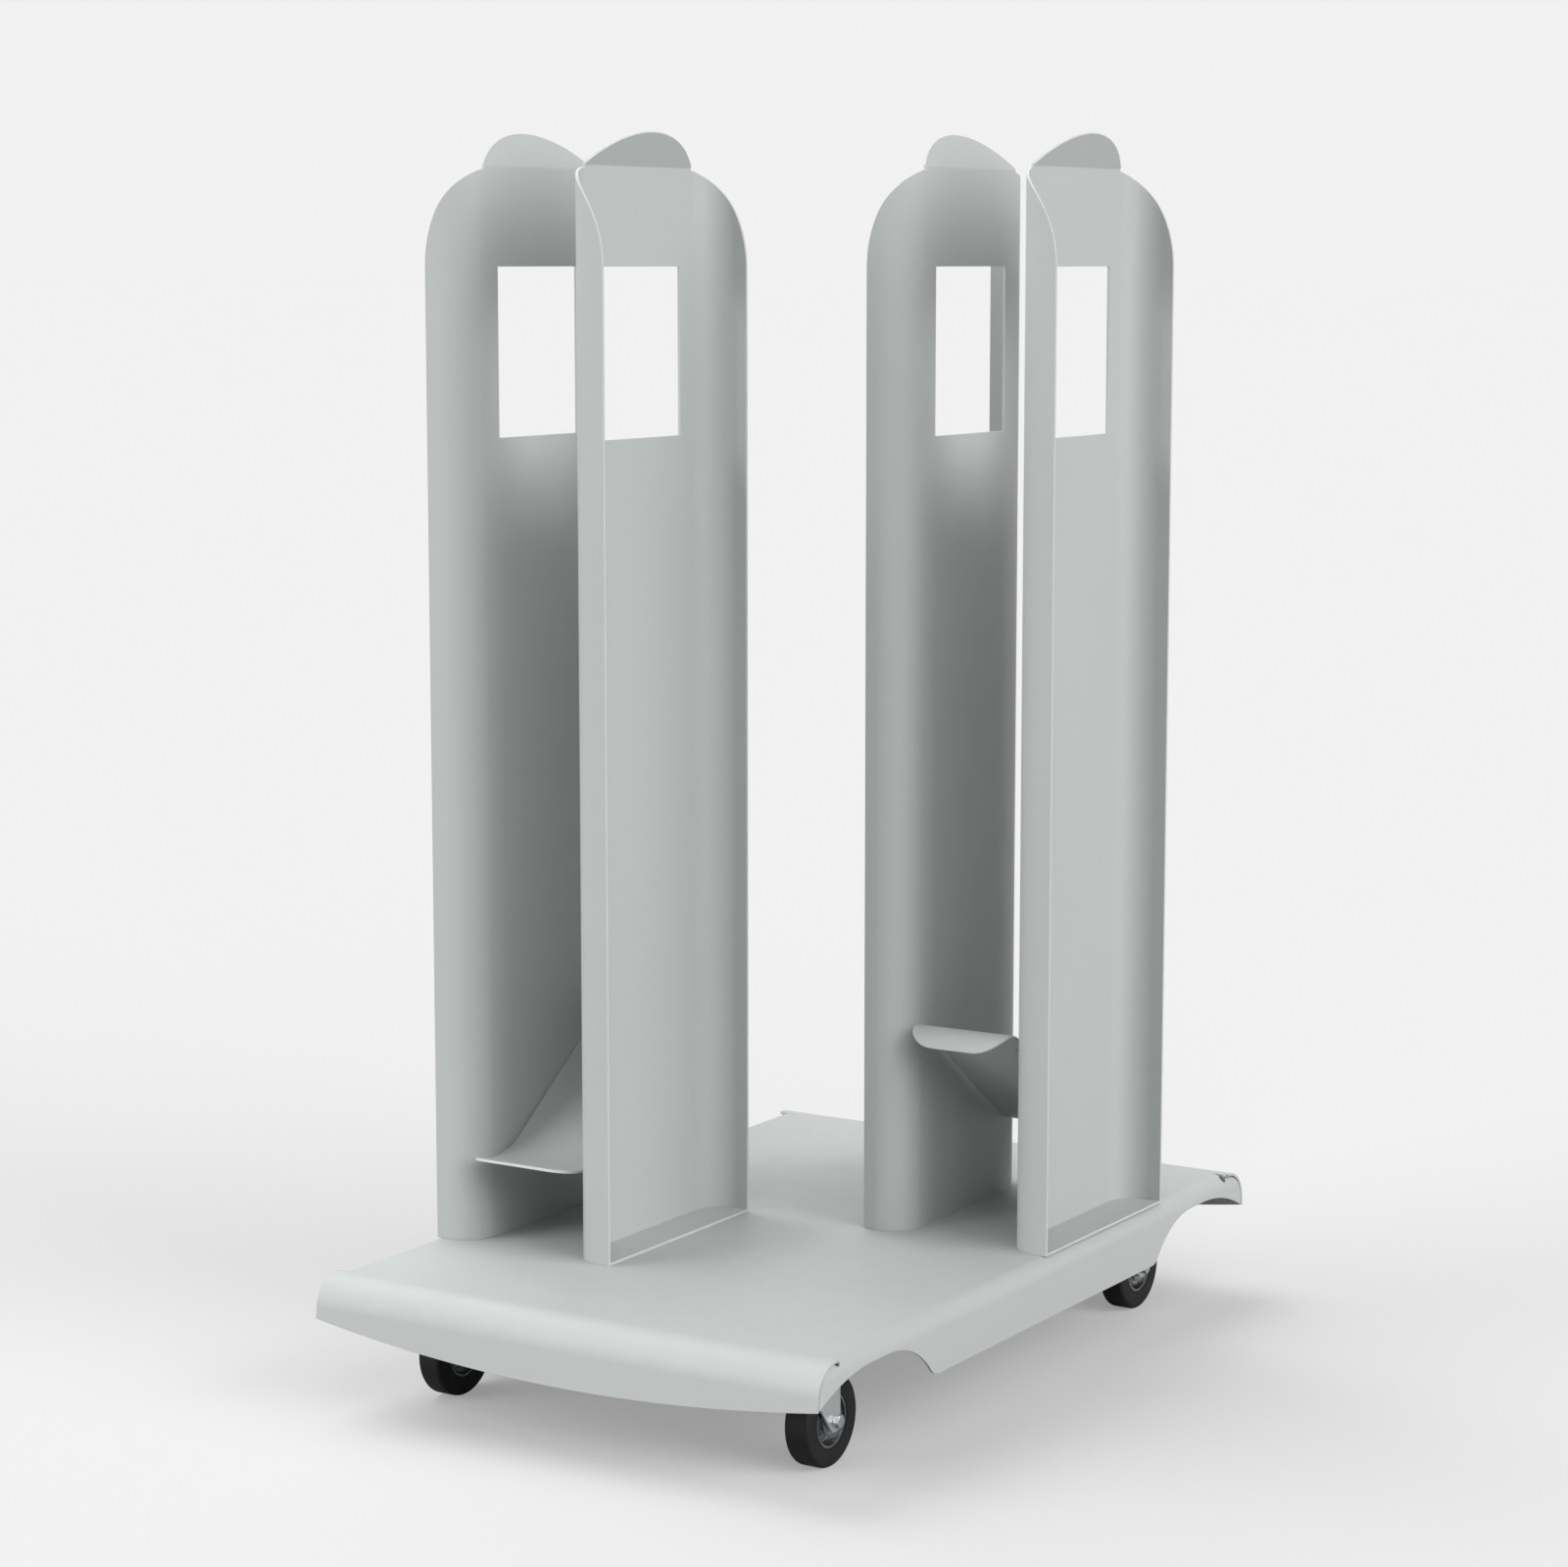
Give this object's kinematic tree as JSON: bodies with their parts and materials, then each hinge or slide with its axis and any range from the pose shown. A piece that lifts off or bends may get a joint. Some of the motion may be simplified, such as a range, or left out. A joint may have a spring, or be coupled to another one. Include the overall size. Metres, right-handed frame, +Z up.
{
  "type": "transport cart",
  "caption": "Low sheet-steel cart on swivel casters with two slotted towers, each of two tall bent columns and a curved cradle.",
  "frame": {"origin": "on the floor under the middle of the deck", "axes": "+Z up, +Y along the deck to the back, +X across the deck to the right"},
  "size_m": [0.632, 0.9834, 1.3685],
  "materials": {
    "powder_coat": "satin light grey powder coat",
    "caster_steel": "bright zinc plate",
    "zinc_fasteners": "zinc plate",
    "bearing_steel": "ground steel",
    "rim_metal": "turned and polished",
    "tyre_rubber": "matt black rubber"
  },
  "bodies": {
    "cart": {"deck": "powder_coat", "front_crossmember": "powder_coat", "back_crossmember": "powder_coat", "left_outer_column": "powder_coat", "left_inner_column": "powder_coat", "right_inner_column": "powder_coat", "right_outer_column": "powder_coat", "left_outer_foot": "powder_coat", "left_inner_foot": "powder_coat", "right_inner_foot": "powder_coat", "right_outer_foot": "powder_coat", "left_cradle": "powder_coat", "right_cradle": "powder_coat", "foot_studs": "zinc_fasteners", "foot_washers": "zinc_fasteners", "foot_nuts": "zinc_fasteners", "weld_nuts": "zinc_fasteners", "caster_bolts": "zinc_fasteners", "kingpin_nuts": "zinc_fasteners", "front_left_plate": "caster_steel", "front_left_balls": "bearing_steel", "front_left_kingpin": "caster_steel", "front_right_plate": "caster_steel", "front_right_balls": "bearing_steel", "front_right_kingpin": "caster_steel", "back_left_plate": "caster_steel", "back_left_balls": "bearing_steel", "back_left_kingpin": "caster_steel", "back_right_plate": "caster_steel", "back_right_balls": "bearing_steel", "back_right_kingpin": "caster_steel"},
    "front_left_swivel": {"front_left_fork": "caster_steel", "front_left_axle_bolt": "zinc_fasteners", "front_left_axle_nut": "zinc_fasteners", "front_left_sleeve": "bearing_steel"},
    "front_left_wheel": {"front_left_bearings": "bearing_steel", "front_left_rim": "rim_metal", "front_left_tyre": "tyre_rubber"},
    "front_right_swivel": {"front_right_fork": "caster_steel", "front_right_axle_bolt": "zinc_fasteners", "front_right_axle_nut": "zinc_fasteners", "front_right_sleeve": "bearing_steel"},
    "front_right_wheel": {"front_right_bearings": "bearing_steel", "front_right_rim": "rim_metal", "front_right_tyre": "tyre_rubber"},
    "back_left_swivel": {"back_left_fork": "caster_steel", "back_left_axle_bolt": "zinc_fasteners", "back_left_axle_nut": "zinc_fasteners", "back_left_sleeve": "bearing_steel"},
    "back_left_wheel": {"back_left_bearings": "bearing_steel", "back_left_rim": "rim_metal", "back_left_tyre": "tyre_rubber"},
    "back_right_swivel": {"back_right_fork": "caster_steel", "back_right_axle_bolt": "zinc_fasteners", "back_right_axle_nut": "zinc_fasteners", "back_right_sleeve": "bearing_steel"},
    "back_right_wheel": {"back_right_bearings": "bearing_steel", "back_right_rim": "rim_metal", "back_right_tyre": "tyre_rubber"}
  },
  "joints": [
    {"name": "front_left_swivel_turn", "type": "hinge", "parent": "cart", "child": "front_left_swivel", "pos_m": [-0.2345, -0.385, 0.116], "axis": [0, 0, 1], "continuous": true},
    {"name": "front_left_wheel_spin", "type": "hinge", "parent": "front_left_swivel", "child": "front_left_wheel", "pos_m": [-0.2345, -0.3495, 0.05], "axis": [1, 0, 0], "continuous": true},
    {"name": "front_right_swivel_turn", "type": "hinge", "parent": "cart", "child": "front_right_swivel", "pos_m": [0.2345, -0.385, 0.116], "axis": [0, 0, 1], "continuous": true},
    {"name": "front_right_wheel_spin", "type": "hinge", "parent": "front_right_swivel", "child": "front_right_wheel", "pos_m": [0.2345, -0.3495, 0.05], "axis": [1, 0, 0], "continuous": true},
    {"name": "back_left_swivel_turn", "type": "hinge", "parent": "cart", "child": "back_left_swivel", "pos_m": [-0.2345, 0.385, 0.116], "axis": [0, 0, 1], "continuous": true},
    {"name": "back_left_wheel_spin", "type": "hinge", "parent": "back_left_swivel", "child": "back_left_wheel", "pos_m": [-0.2345, 0.3495, 0.05], "axis": [1, 0, 0], "continuous": true},
    {"name": "back_right_swivel_turn", "type": "hinge", "parent": "cart", "child": "back_right_swivel", "pos_m": [0.2345, 0.385, 0.116], "axis": [0, 0, 1], "continuous": true},
    {"name": "back_right_wheel_spin", "type": "hinge", "parent": "back_right_swivel", "child": "back_right_wheel", "pos_m": [0.2345, 0.3495, 0.05], "axis": [1, 0, 0], "continuous": true}
  ]
}
